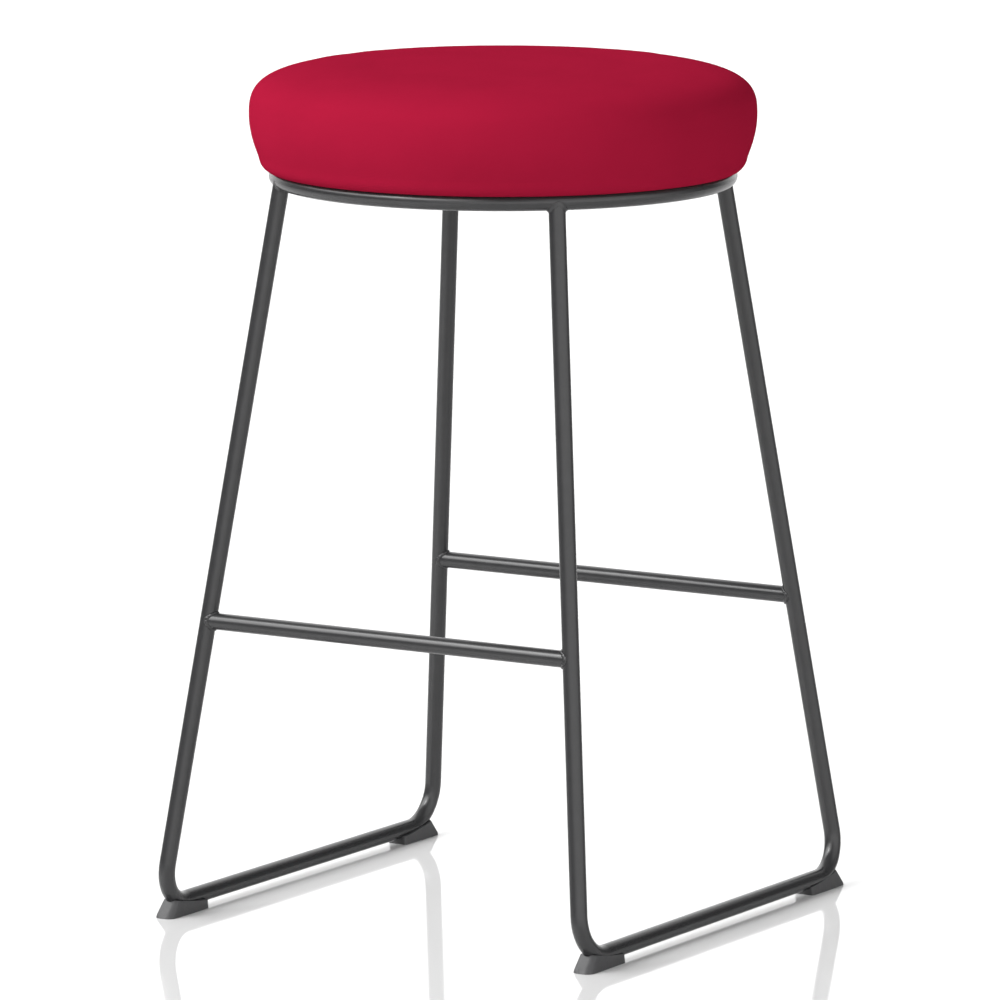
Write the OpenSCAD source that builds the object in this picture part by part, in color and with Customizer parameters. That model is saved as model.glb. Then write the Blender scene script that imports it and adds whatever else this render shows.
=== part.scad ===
// A counter-height stool: a thick round upholstered seat on a sled frame of round steel bar.
// +Z is up, +X runs along the footrest bars, +Y along the floor rails. The origin is on the
// floor under the middle of the seat. All sizes are in millimetres.

/* [Frame] */
// Diameter of the round bar that the frame is made of
bar_d = 12.7; // [12:0.1:13]
// Diameter of the ring under the seat, at the bar's centreline
ring_d = 340; // [336:1:344]
// Height of the ring's centreline above the floor
ring_z = 557.5; // [450:0.5:750]
// Distance from the middle of the stool to each floor rail's centreline
rail_x = 185; // [170:1:220]
// Height of the floor rails' centreline above the floor
rail_z = 10; // [10:0.5:12]
// Distance from the middle of a floor rail to the corner where it would meet a leg
rail_half = 192.7; // [180:0.1:230]
// Centreline radius of the bends between the rails and the legs
bend_r = 29; // [24:1:34]
// Angle round the ring, from the X axis, at which a leg meets it
leg_angle = 45; // [38:1:52]

/* [Footrest] */
// Height of the footrest bars' centreline above the floor
footrest_z = 227; // [120:1:400]

/* [Seat] */
// Width of the seat at its widest
seat_d = 382.6; // [378:0.2:388]
// Width of the seat at the foot of its side wall
seat_foot_d = 367.6; // [362:0.2:370]
// Height from the lowest line of the seat's rim to its crown
seat_h = 82.9; // [70:0.1:110]
// How far the seat's rim hangs below the top of the ring
seat_drop = 2.35; // [1.5:0.05:2.5]
// Radius of the roll under the seat's rim
rim_r = 10.7; // [10:0.1:12]
// Reach of the shoulder's curve inwards from the widest line
shoulder_reach = 97.2; // [80:0.1:120]
// Rise of the shoulder's curve above the widest line
shoulder_rise = 37.9; // [30:0.1:45]
// Squareness of the shoulder's curve, where 2 is an ellipse
shoulder_power = 3.2; // [2:0.1:4]
// Rise of the crown above the end of the shoulder
crown_rise = 2.9; // [0:0.1:8]
// Thickness of the seat fabric
cover_t = 1; // [0.6:0.1:1.4]
// Thickness of the plywood seat board
board_t = 12; // [9:1:18]
// Radius of the plywood seat board
board_r = 172; // [170:0.5:173]

/* [Glides] */
// Length of a glide along its rail
glide_l = 52; // [48:0.5:54]
// Width of a glide on the floor
glide_w = 16.8; // [15:0.2:20]
// Width of a glide at the top of its highest wall
glide_top_w = 13.8; // [13:0.1:15]
// Height of a glide's walls up the side of the bar
glide_grip = 3.1; // [1.5:0.1:3.5]

/* [Hidden] */
$fn = 96;
ring_fn = 360;
bar_r = bar_d / 2;
ring_r = ring_d / 2;
fit_gap = 0.05;

// How far a cutting shape runs past the face that it opens.
cut = 1;

// One sled loop lies in a plane that leans inwards from its floor rail.
leg_top_x = ring_r * cos(leg_angle);
leg_top_y = ring_r * sin(leg_angle);
loop_lean = atan2(rail_x - leg_top_x, ring_z - rail_z);
loop_h = (ring_z - rail_z) / cos(loop_lean);
leg_lean = atan2(rail_half - leg_top_y, loop_h);
leg_l = loop_h / cos(leg_lean);
bend_turn = 90 + leg_lean;
bend_start = bend_r * tan(bend_turn / 2);
rail_straight = rail_half - bend_start;

// The bar is a hair thinner in its bends, and the straight parts run this far over them.
bend_thin = 0.01;
bend_over = 0.4;

// Where the footrest bars' centrelines cross the legs' centrelines.
footrest_part = (footrest_z - rail_z) / (ring_z - rail_z);
footrest_x = rail_x - footrest_part * (rail_x - leg_top_x);
footrest_y = rail_half - footrest_part * (rail_half - leg_top_y);

// Weld beads: a collar that widens towards the bar it runs into. Lengths are from where the two
// bars' centrelines cross.
weld_reach = 9;
weld_stop = 2;
weld_toe = 0.3;
weld_out = 2.8;
tab_weld = 3;
tab_weld_half_turn = 3.2;

// The seat, from the underside up.
seat_z = ring_z + bar_r - seat_drop;
cover_z = ring_z + bar_r;
board_z = cover_z + cover_t;
foot_r = seat_foot_d / 2;
wide_r = seat_d / 2;
wide_h = seat_h - shoulder_rise - crown_rise;
wall_power = 1.85;
rim_start = -76;
rim_steps = 8;
wall_steps = 8;
shoulder_steps = 20;
crown_steps = 5;
hem_r = 150;
hem_edge_r = 171.5;
dust_cover_r = 160;
dust_cover_t = 0.6;
dust_cover_z = cover_z - dust_cover_t;

// The four seat fixings: a tab inside the ring, a screw, a washer and a T-nut at each.
fixing_count = 4;
fixing_r = 142;
tab_t = 3;
tab_w = 24;
tab_z = dust_cover_z - tab_t;
screw_r = 3;
screw_l = 16;
screw_head_r = 5.25;
screw_head_h = 3.3;
screw_key = 4;
screw_socket_h = 2;
washer_r = 6;
washer_t = 1.6;
tab_hole_r = 3.25;
dust_hole_r = 3.5;
barrel_r = 4;
barrel_l = 8;
flange_r = 9;
flange_t = 1.4;
flange_pocket = 0.3;

// Staples round the dust cover.
staple_count = 16;
staple_r = 156;
staple_l = 10;
staple_w = 1.2;
staple_t = 0.5;

// Glides: a saddle under each end of a floor rail.
glide_end = 192;
glide_end_top = 181.5;
glide_start = glide_end - glide_l;
glide_lip = 1.2;
glide_top_z = rail_z - bar_r + glide_grip;
glide_high_z = 12.8;
glide_climb = 1.4;
glide_steps = 10;
glide_outer_r = 6.5;
glide_inner_r = 1.8;

// A glide stands a little inside its rail, and leans with the loop.
glide_shift = 0.7;
glide_top_shift = 1;
glide_screw_y = 151;
glide_screw_r = 2;
glide_screw_l = 10;
glide_screw_head_r = 3.7;
glide_screw_head_h = 2.2;
glide_screw_inset = 1;
glide_screw_key = 2.5;
glide_screw_socket_h = 1.2;

steel = "#4b4b4d";
plastic = "#59595b";
zinc = "#b9bcbf";
fabric = "#a81c39";

// ---- Frame ------------------------------------------------------------------------------------

// The children and their mirror image across X = 0.
module both_sides() {
  children();
  mirror([1, 0, 0])
    children();
}

// A torus of tube radius r on the ring's centreline.
module ring_tube(r) {
  translate([0, 0, ring_z])
    rotate_extrude($fn = ring_fn)
      translate([ring_r, 0])
        circle(r);
}

// Carries the plane of a sled loop, X along the rail and Y up the loop, to the right-hand side.
module on_right_loop() {
  translate([rail_x, 0, rail_z])
    rotate([0, -loop_lean, 0])
      rotate([90, 0, 90])
        children();
}

// Puts children on the leg at the +X end of the loop's plane, Z up the leg, at a distance along it.
module on_leg(along) {
  translate([rail_half, 0, 0])
    rotate([0, 0, leg_lean])
      translate([0, along, 0])
        rotate([-90, 0, 0])
          children();
}

// One bend, at the +X end of the loop's plane.
module bend(r) {
  translate([rail_straight, bend_r, 0])
    rotate([0, 0, -90])
      rotate_extrude(angle = bend_turn)
        translate([bend_r, 0])
          circle(r);
}

// One leg, from just inside its bend to its top, at the +X end of the loop's plane.
module leg(r) {
  on_leg(bend_start - bend_over)
    cylinder(h = leg_l - bend_start + bend_over, r = r);
}

// The straight part of the floor rail, in the loop's plane.
module rail() {
  rotate([0, 90, 0])
    cylinder(h = 2 * (rail_straight + bend_over), r = bar_r, center = true);
}

// The bar of one sled loop, in the loop's own plane.
module loop_bar() {
  rail();
  both_sides() {
    bend(bar_r - bend_thin);
    leg(bar_r);
  }
}

// The right-hand sled loop, its legs cut to the ring and its rail drilled for the glide screws.
module sled_loop() {
  difference() {
    on_right_loop()
      loop_bar();
    ring_tube(bar_r + fit_gap);
    at_glide_screws()
      cylinder(h = glide_screw_inset + glide_screw_l + cut, r = glide_screw_r + fit_gap);
  }
}

module seat_ring() {
  color(steel)
    ring_tube(bar_r);
}

module sled_loop_right() {
  color(steel)
    sled_loop();
}

module sled_loop_left() {
  color(steel)
    mirror([1, 0, 0])
      sled_loop();
}

// The rear footrest bar, its ends cut to the legs.
module footrest_bar() {
  difference() {
    translate([0, footrest_y, footrest_z])
      rotate([0, 90, 0])
        cylinder(h = 2 * footrest_x, r = bar_r, center = true);
    both_sides()
      on_right_loop()
        leg(bar_r + fit_gap);
  }
}

module footrest_bar_rear() {
  color(steel)
    footrest_bar();
}

module footrest_bar_front() {
  color(steel)
    mirror([0, 1, 0])
      footrest_bar();
}

// ---- Welds ------------------------------------------------------------------------------------

// A copy at each of the stool's four corners.
module four_corners() {
  both_sides() {
    children();
    mirror([0, 1, 0])
      children();
  }
}

// A weld bead's collar round a bar on the Z axis, which meets the other bar's centreline at z = 0.
module weld_collar() {
  translate([0, 0, -weld_reach])
    difference() {
      cylinder(h = weld_reach - weld_stop, r1 = bar_r + weld_toe, r2 = bar_r + weld_out);
      translate([0, 0, -weld_reach])
        cylinder(h = 3 * weld_reach, r = bar_r);
    }
}

// The bead round the top of one leg.
module leg_weld() {
  difference() {
    on_right_loop()
      on_leg(leg_l)
        weld_collar();
    ring_tube(bar_r);
  }
}

// The bead round one end of a footrest bar.
module footrest_weld() {
  difference() {
    translate([footrest_x, footrest_y, footrest_z])
      rotate([0, 90, 0])
        weld_collar();
    on_right_loop()
      leg(bar_r);
  }
}

module leg_welds() {
  color(steel)
    four_corners()
      leg_weld();
}

module footrest_welds() {
  color(steel)
    four_corners()
      footrest_weld();
}

// ---- Seat fixings -----------------------------------------------------------------------------

// Puts children at the fixing with this number, X outwards, on the floor's level.
module at_fixing(i) {
  rotate([0, 0, i * 360 / fixing_count])
    translate([fixing_r, 0, 0])
      children();
}

module at_fixings() {
  for (i = [0 : fixing_count - 1])
    at_fixing(i)
      children();
}

// One flat tab, round at its free end and cut to the ring at the other.
module mount_tab(i) {
  color(steel)
    difference() {
      at_fixing(i)
        translate([0, 0, tab_z])
          difference() {
            union() {
              cylinder(h = tab_t, r = tab_w / 2);
              translate([0, -tab_w / 2, 0])
                cube([ring_r - fixing_r, tab_w, tab_t]);
            }
            translate([0, 0, -cut])
              cylinder(h = tab_t + 2 * cut, r = tab_hole_r);
          }
      ring_tube(bar_r);
    }
}

module mount_tab_right() {
  mount_tab(0);
}

module mount_tab_rear() {
  mount_tab(1);
}

module mount_tab_left() {
  mount_tab(2);
}

module mount_tab_front() {
  mount_tab(3);
}

// The bead in the corner between a tab's underside and the ring.
module tab_weld_bead() {
  rotate([0, 0, -tab_weld_half_turn])
    rotate_extrude(angle = 2 * tab_weld_half_turn, $fn = ring_fn)
      polygon([
        [ring_r - bar_r - tab_weld, tab_z],
        [ring_r - bar_r - fit_gap, tab_z - tab_weld],
        [ring_r, tab_z - tab_weld],
        [ring_r, tab_z]
      ]);
}

module tab_welds() {
  color(steel)
    difference() {
      for (i = [0 : fixing_count - 1])
        rotate([0, 0, i * 360 / fixing_count])
          tab_weld_bead();
      ring_tube(bar_r);
    }
}

// The cutting shape of a hexagon socket for a key of this size across its flats.
module hex_socket(key, depth) {
  cylinder(h = depth, d = key / cos(30), $fn = 6);
}

// Button-headed screws with a hexagon socket, from below.
module seat_screws() {
  color(zinc)
    at_fixings()
      difference() {
        translate([0, 0, tab_z - washer_t])
          union() {
            cylinder(h = screw_l, r = screw_r);
            translate([0, 0, -screw_head_h])
              cylinder(h = screw_head_h, r = screw_head_r);
          }
        translate([0, 0, tab_z - washer_t - screw_head_h - cut])
          hex_socket(screw_key, screw_socket_h + cut);
      }
}

module seat_washers() {
  color(zinc)
    at_fixings()
      translate([0, 0, tab_z - washer_t])
        difference() {
          cylinder(h = washer_t, r = washer_r);
          translate([0, 0, -cut])
            cylinder(h = washer_t + 2 * cut, r = tab_hole_r);
        }
}

// T-nuts, their barrels in the board and their flanges on top of it.
module t_nuts() {
  color(zinc)
    at_fixings()
      translate([0, 0, board_z + board_t])
        difference() {
          union() {
            translate([0, 0, -barrel_l])
              cylinder(h = barrel_l, r = barrel_r - fit_gap);
            cylinder(h = flange_t, r = flange_r);
          }
          translate([0, 0, -barrel_l - cut])
            cylinder(h = barrel_l + flange_t + 2 * cut, r = screw_r + fit_gap);
        }
}

// ---- Seat -------------------------------------------------------------------------------------

// The seat's outline as [radius, height], each point moved inwards by inset.
function rim_points(inset) = [
  for (i = [0 : rim_steps])
    let (turn = rim_start * (1 - i / rim_steps))
    [foot_r - rim_r + (rim_r - inset) * cos(turn), rim_r + (rim_r - inset) * sin(turn)]
];

function wall_points(inset) = [
  for (i = [1 : wall_steps])
    let (s = i / wall_steps)
    [
      foot_r + (wide_r - foot_r) * (1 - pow(1 - s, wall_power)) - inset,
      rim_r + (wide_h - rim_r) * s
    ]
];

function shoulder_points(inset) = [
  for (i = [1 : shoulder_steps])
    let (turn = 90 * i / shoulder_steps)
    [
      wide_r - shoulder_reach + (shoulder_reach - inset) * pow(max(cos(turn), 0), 2 / shoulder_power),
      wide_h + (shoulder_rise - inset) * pow(sin(turn), 2 / shoulder_power)
    ]
];

function crown_points(inset) = [
  for (i = [1 : crown_steps])
    let (s = i / crown_steps)
    [
      (wide_r - shoulder_reach) * (1 - s),
      wide_h + shoulder_rise - inset + crown_rise * (1 - pow(1 - s, 2))
    ]
];

function seat_outline(inset) = [
  for (p = concat(rim_points(inset), wall_points(inset), shoulder_points(inset), crown_points(inset)))
    [p[0], p[1] + seat_z]
];

function reversed(points) = [for (i = [len(points) - 1 : -1 : 0]) points[i]];

// Fabric over the foam, round the rim and in under the board to its hem.
module seat_cover() {
  color(fabric)
    rotate_extrude()
      polygon(concat(
        [[hem_r, cover_z], [hem_edge_r, cover_z]],
        seat_outline(0),
        reversed(seat_outline(cover_t)),
        [[board_r, board_z], [hem_r, board_z]]
      ));
}

// Foam on top of the board and round its edge, with room for the T-nuts' flanges.
module seat_foam() {
  color("#d9cfae")
    difference() {
      rotate_extrude()
        polygon(concat(
          [[board_r, board_z]],
          seat_outline(cover_t),
          [[0, board_z + board_t], [board_r, board_z + board_t]]
        ));
      at_fixings()
        translate([0, 0, board_z + board_t - cut])
          cylinder(h = cut + flange_t + fit_gap, r = flange_r + flange_pocket);
    }
}

module seat_board() {
  color("#c8a877")
    difference() {
      translate([0, 0, board_z])
        cylinder(h = board_t, r = board_r);
      at_fixings()
        translate([0, 0, board_z - cut])
          cylinder(h = board_t + 2 * cut, r = barrel_r);
    }
}

// Thin cloth under the seat, over the hem of the fabric.
module dust_cover() {
  color("#2b2b2d")
    difference() {
      translate([0, 0, dust_cover_z])
        cylinder(h = dust_cover_t, r = dust_cover_r);
      at_fixings()
        translate([0, 0, dust_cover_z - cut])
          cylinder(h = dust_cover_t + 2 * cut, r = dust_hole_r);
    }
}

module dust_cover_staples() {
  color(zinc)
    for (i = [0 : staple_count - 1])
      rotate([0, 0, (i + 0.5) * 360 / staple_count])
        translate([staple_r - staple_w / 2, -staple_l / 2, dust_cover_z - staple_t])
          cube([staple_w, staple_l, staple_t]);
}

// ---- Glides -----------------------------------------------------------------------------------

// Puts children at both glide screws of the right-hand rail, on the floor, Z up.
module at_glide_screws() {
  for (side = [-1, 1])
    translate([rail_x, side * glide_screw_y, 0])
      children();
}

// Half of a rounded rectangle's outline in plan, from y = 0 on, with corner radius r.
module plan_end(w, l, r) {
  translate([w / 2 - r, l - r])
    circle(r);
  translate([-w / 2 + r, l - r])
    circle(r);
  translate([-w / 2 + r, 0])
    square([w - 2 * r, l]);
  translate([-w / 2, 0])
    square([w, l - r]);
}

// The glide's outline on the floor, rounder at the outer end than at the inner one.
module glide_plan() {
  translate([-glide_shift, glide_end - glide_l / 2])
    plan_end(glide_w, glide_l / 2, glide_outer_r);
  translate([-glide_shift, glide_end - glide_l / 2])
    mirror([0, 1])
      plan_end(glide_w, glide_l / 2, glide_inner_r);
}

// The top edge of a glide's wall: a line that climbs faster as the bar bends up.
function glide_wall(s) = [
  glide_start + (glide_end_top - glide_start) * s,
  glide_top_z + (glide_high_z - glide_top_z) * pow(s, glide_climb)
];

// The glide's outline from the side, X along the rail and Y up, under the wall's top edge.
module glide_side() {
  polygon(concat(
    [[glide_start, 0], [glide_end, 0], [glide_end, glide_lip]],
    [for (i = [glide_steps:-1:0]) glide_wall(i / glide_steps)]
  ));
}

// The glide's outline from the end, X across the rail, away from the middle, and Y up.
module glide_section() {
  polygon([
    [-glide_shift - glide_w / 2, 0],
    [-glide_shift + glide_w / 2, 0],
    [-glide_top_shift + glide_top_w / 2, glide_high_z],
    [-glide_top_shift - glide_top_w / 2, glide_high_z]
  ]);
}

// The glide under the rear end of the right-hand rail.
module glide() {
  color(plastic)
    difference() {
      translate([rail_x, 0, 0])
        intersection() {
          linear_extrude(height = glide_high_z)
            glide_plan();
          rotate([90, 0, 90])
            linear_extrude(height = 2 * glide_w, center = true)
              glide_side();
          translate([0, rail_half + bar_d, 0])
            rotate([90, 0, 0])
              linear_extrude(height = rail_half + bar_d)
                glide_section();
        }
      on_right_loop()
        loop_bar();
      translate([rail_x, glide_screw_y, 0])
        glide_screw_hole();
    }
}

// The stepped hole for a glide's countersunk screw.
module glide_screw_hole() {
  translate([0, 0, -cut])
    cylinder(h = cut + glide_screw_inset, r = glide_screw_head_r + fit_gap);
  translate([0, 0, glide_screw_inset])
    cylinder(
      h = glide_screw_head_h,
      r1 = glide_screw_head_r + fit_gap,
      r2 = glide_screw_r + fit_gap
    );
  cylinder(h = glide_high_z, r = glide_screw_r + fit_gap);
}

module glide_rear_right() {
  glide();
}

module glide_rear_left() {
  mirror([1, 0, 0])
    glide();
}

module glide_front_right() {
  mirror([0, 1, 0])
    glide();
}

module glide_front_left() {
  mirror([1, 0, 0])
    mirror([0, 1, 0])
      glide();
}

// One countersunk screw with a hexagon socket, up from inside the glide.
module glide_screw() {
  difference() {
    translate([0, 0, glide_screw_inset]) {
      cylinder(h = glide_screw_head_h, r1 = glide_screw_head_r, r2 = glide_screw_r);
      cylinder(h = glide_screw_l, r = glide_screw_r);
    }
    hex_socket(glide_screw_key, glide_screw_inset + glide_screw_socket_h);
  }
}

module glide_screws() {
  color(zinc)
    both_sides()
      at_glide_screws()
        glide_screw();
}

seat_ring();
sled_loop_left();
sled_loop_right();
footrest_bar_front();
footrest_bar_rear();
leg_welds();
footrest_welds();
mount_tab_right();
mount_tab_rear();
mount_tab_left();
mount_tab_front();
tab_welds();
glide_front_left();
glide_front_right();
glide_rear_left();
glide_rear_right();
glide_screws();
seat_board();
t_nuts();
seat_foam();
seat_cover();
dust_cover();
dust_cover_staples();
seat_screws();
seat_washers();
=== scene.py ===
"""The looks of a counter stool: a thick round upholstered seat on a sled frame of steel bar.

Everything is in metres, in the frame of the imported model: +Z up, +X along the footrest bars,
+Y along the floor rails, and the origin on the floor under the middle of the seat.
"""

import math

import bmesh
import bpy
import numpy as np
from mathutils import Matrix, Vector, noise


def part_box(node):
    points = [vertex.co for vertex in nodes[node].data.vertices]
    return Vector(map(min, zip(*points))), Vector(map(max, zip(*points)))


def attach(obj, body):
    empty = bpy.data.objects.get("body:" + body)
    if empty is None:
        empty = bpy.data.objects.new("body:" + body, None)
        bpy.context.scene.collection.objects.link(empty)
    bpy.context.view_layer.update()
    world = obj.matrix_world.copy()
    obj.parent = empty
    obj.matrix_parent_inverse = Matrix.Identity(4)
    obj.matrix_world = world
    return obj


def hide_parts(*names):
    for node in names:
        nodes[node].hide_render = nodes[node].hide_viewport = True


MM = 0.001

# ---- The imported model, and the sizes that its boxes give ----------------------------------------

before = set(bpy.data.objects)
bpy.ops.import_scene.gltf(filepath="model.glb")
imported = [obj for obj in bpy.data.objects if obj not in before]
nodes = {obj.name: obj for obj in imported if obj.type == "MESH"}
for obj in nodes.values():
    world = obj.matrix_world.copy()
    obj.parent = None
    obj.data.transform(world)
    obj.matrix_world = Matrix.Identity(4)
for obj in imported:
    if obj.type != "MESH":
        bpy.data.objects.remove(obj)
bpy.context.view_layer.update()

ring_low, ring_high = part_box("seat_ring")
footrest_low, footrest_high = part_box("footrest_bar_rear")
board_low, board_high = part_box("seat_board")
dust_low, dust_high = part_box("dust_cover")
glide_low, glide_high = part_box("glide_rear_right")
loop_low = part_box("sled_loop_right")[0]
tab_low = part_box("mount_tab_right")[0]
cover_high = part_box("seat_cover")[1]

BAR_R = (footrest_high.z - footrest_low.z) / 2
RING_Z = (ring_high.z + ring_low.z) / 2
RING_R = ring_high.x - BAR_R
RAIL_Z = loop_low.z + BAR_R
FOOTREST_Z = (footrest_high.z + footrest_low.z) / 2
BOARD_R = board_high.x
WIDE_R = cover_high.x

# The same sizes as in the CAD source. Frame: where the rails run, how far the legs' lines reach
# along them, the bends' radius, and where the legs meet the ring.
RAIL_X = 185 * MM
RAIL_HALF = 192.7 * MM
BEND_R = 29 * MM
LEG_ANGLE = math.radians(45)
# Seat: it sinks into the ring by SEAT_DROP, and its outline runs from the foot round the rim, up
# the wall, over the shoulder and across the crown.
SEAT_DROP = 2.35 * MM
SEAT_Z = RING_Z + BAR_R - SEAT_DROP
SEAT_H = 82.9 * MM
FOOT_R = 183.8 * MM
RIM_R = 10.7 * MM
RIM_START = math.radians(-76)
WALL_POWER = 1.85
SHOULDER_REACH = 97.2 * MM
SHOULDER_RISE = 37.9 * MM
SHOULDER_POWER = 3.2
CROWN_RISE = 2.9 * MM
# Under the seat: the cloth's turned-in hem, and the four fixings at right angles.
COVER_Z = board_low.z - 1.0 * MM
HEM_R = 150 * MM
HEM_EDGE_R = 171.5 * MM
FIXING_R = 142 * MM
FIXING_TURNS = [math.pi / 2 * i for i in range(4)]

# The leg and loop lines that follow from those.
LEG_TOP = Vector((RING_R * math.cos(LEG_ANGLE), RING_R * math.sin(LEG_ANGLE), RING_Z))
LEG_FOOT = Vector((RAIL_X, RAIL_HALF, RAIL_Z))
LEG_DOWN = (LEG_FOOT - LEG_TOP).normalized()
LOOP_LEAN = math.atan2(RAIL_X - LEG_TOP.x, RING_Z - RAIL_Z)
LOOP_H = (RING_Z - RAIL_Z) / math.cos(LOOP_LEAN)
LEG_LEAN = math.atan2(RAIL_HALF - LEG_TOP.y, LOOP_H)
RAIL_STRAIGHT = RAIL_HALF - BEND_R * math.tan((math.pi / 2 + LEG_LEAN) / 2)

# The signs of x and y at the four legs.
CORNERS = [(1, 1), (-1, 1), (1, -1), (-1, -1)]


# ---- Meshes -------------------------------------------------------------------------------------


def new_piece(name, verts, faces, material, replaced):
    """A smooth-shaded mesh piece in place of the CAD nodes named, which it hides."""
    mesh = bpy.data.meshes.new(name)
    mesh.from_pydata([tuple(v) for v in verts], [], faces)
    mesh.validate()
    mesh.polygons.foreach_set("use_smooth", [True] * len(mesh.polygons))
    piece = bpy.data.objects.new(name, mesh)
    bpy.context.scene.collection.objects.link(piece)
    mesh.materials.append(material)
    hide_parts(*replaced)
    return piece


def apply_modifiers(piece):
    """Replaces the piece's mesh by what its modifiers make of it."""
    depsgraph = bpy.context.evaluated_depsgraph_get()
    mesh = bpy.data.meshes.new_from_object(piece.evaluated_get(depsgraph))
    piece.modifiers.clear()
    piece.data = mesh


def thicken(piece, thickness, offset):
    """Gives a sheet its thickness, to one side or the other by offset, and rounds it."""
    thick = piece.modifiers.new("Thickness", "SOLIDIFY")
    thick.thickness = thickness
    thick.offset = offset
    smooth = piece.modifiers.new("Smooth", "SUBSURF")
    smooth.levels = 1
    smooth.render_levels = 1
    apply_modifiers(piece)


def face_outwards(piece):
    """Turns every face of a closed mesh outwards."""
    bm = bmesh.new()
    bm.from_mesh(piece.data)
    bmesh.ops.recalc_face_normals(bm, faces=bm.faces)
    bm.to_mesh(piece.data)
    bm.free()


def loop_faces(rings, around, start=0, closed=False):
    """Quads between neighbouring rings of points; closed joins the last ring to the first."""
    faces = []
    for i in range(rings if closed else rings - 1):
        below = start + i * around
        above = start + ((i + 1) % rings) * around
        for j in range(around):
            k = (j + 1) % around
            faces.append((below + j, below + k, above + k, above + j))
    return faces


def end_faces(rings, around, start=0):
    """The two faces that close the ends of a run of rings."""
    last = start + (rings - 1) * around
    first_face = tuple(start + k for k in range(around - 1, -1, -1))
    return [first_face, tuple(last + k for k in range(around))]


def vertex_array(mesh, attribute):
    """The vertices' places, "co", or their normals, "normal", as an array."""
    flat = np.zeros(len(mesh.vertices) * 3, np.float32)
    mesh.vertices.foreach_get(attribute, flat)
    return flat.reshape(-1, 3).astype(float)


def set_coords(mesh, points):
    """Moves the mesh's vertices to an array of points."""
    mesh.vertices.foreach_set("co", points.astype(np.float32).ravel())
    mesh.update()


def smoothstep(low, high, value):
    """From 0 at low to 1 at high, eased at both ends."""
    t = np.clip((value - low) / (high - low), 0, 1)
    return t * t * (3 - 2 * t)


def fixing_distances(points):
    """Each point's distance from each of the four fixings, seen from above."""
    for turn in FIXING_TURNS:
        yield np.hypot(
            points[:, 0] - FIXING_R * math.cos(turn),
            points[:, 1] - FIXING_R * math.sin(turn),
        )


def disc_points(cells, radius):
    """A square grid bent into a disc, its outline at equal angles. Returns [(x, y)] and quads."""
    points = []
    for i in range(cells + 1):
        for j in range(cells + 1):
            u, v = 2 * i / cells - 1, 2 * j / cells - 1
            if abs(u) >= abs(v):
                reach, turn = u, math.pi / 4 * (v / u if u else 0)
            else:
                reach, turn = v, math.pi / 2 - math.pi / 4 * (u / v)
            points.append((radius * reach * math.cos(turn), radius * reach * math.sin(turn)))
    quads = []
    for i in range(cells):
        for j in range(cells):
            a = i * (cells + 1) + j
            quads.append((a, a + cells + 1, a + cells + 2, a + 1))
    return points, quads


def disc_outline(cells):
    """The disc's outline vertices in order of angle, from -45 degrees."""
    side = cells + 1
    right = [cells * side + j for j in range(cells)]
    top = [i * side + cells for i in range(cells, 0, -1)]
    left = [j for j in range(cells, 0, -1)]
    bottom = [i * side for i in range(cells)]
    return right + top + left + bottom


def open_hole(bm, centre, radius):
    """Opens a round hole in a flat sheet, upright at centre, and puts its edge on the circle."""
    inside = []
    for f in bm.faces:
        middle = f.calc_center_median()
        if math.hypot(middle.x - centre[0], middle.y - centre[1]) < radius:
            inside.append(f)
    rim = {e for f in inside for e in f.edges if sum(g in inside for g in e.link_faces) == 1}
    rim_verts = {v for e in rim for v in e.verts}
    bmesh.ops.delete(bm, geom=inside, context="FACES")
    for v in rim_verts:
        if v.is_valid:
            away = Vector((v.co.x - centre[0], v.co.y - centre[1]))
            away = away.normalized() * radius
            v.co.x, v.co.y = centre[0] + away.x, centre[1] + away.y


# ---- Materials ----------------------------------------------------------------------------------


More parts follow.
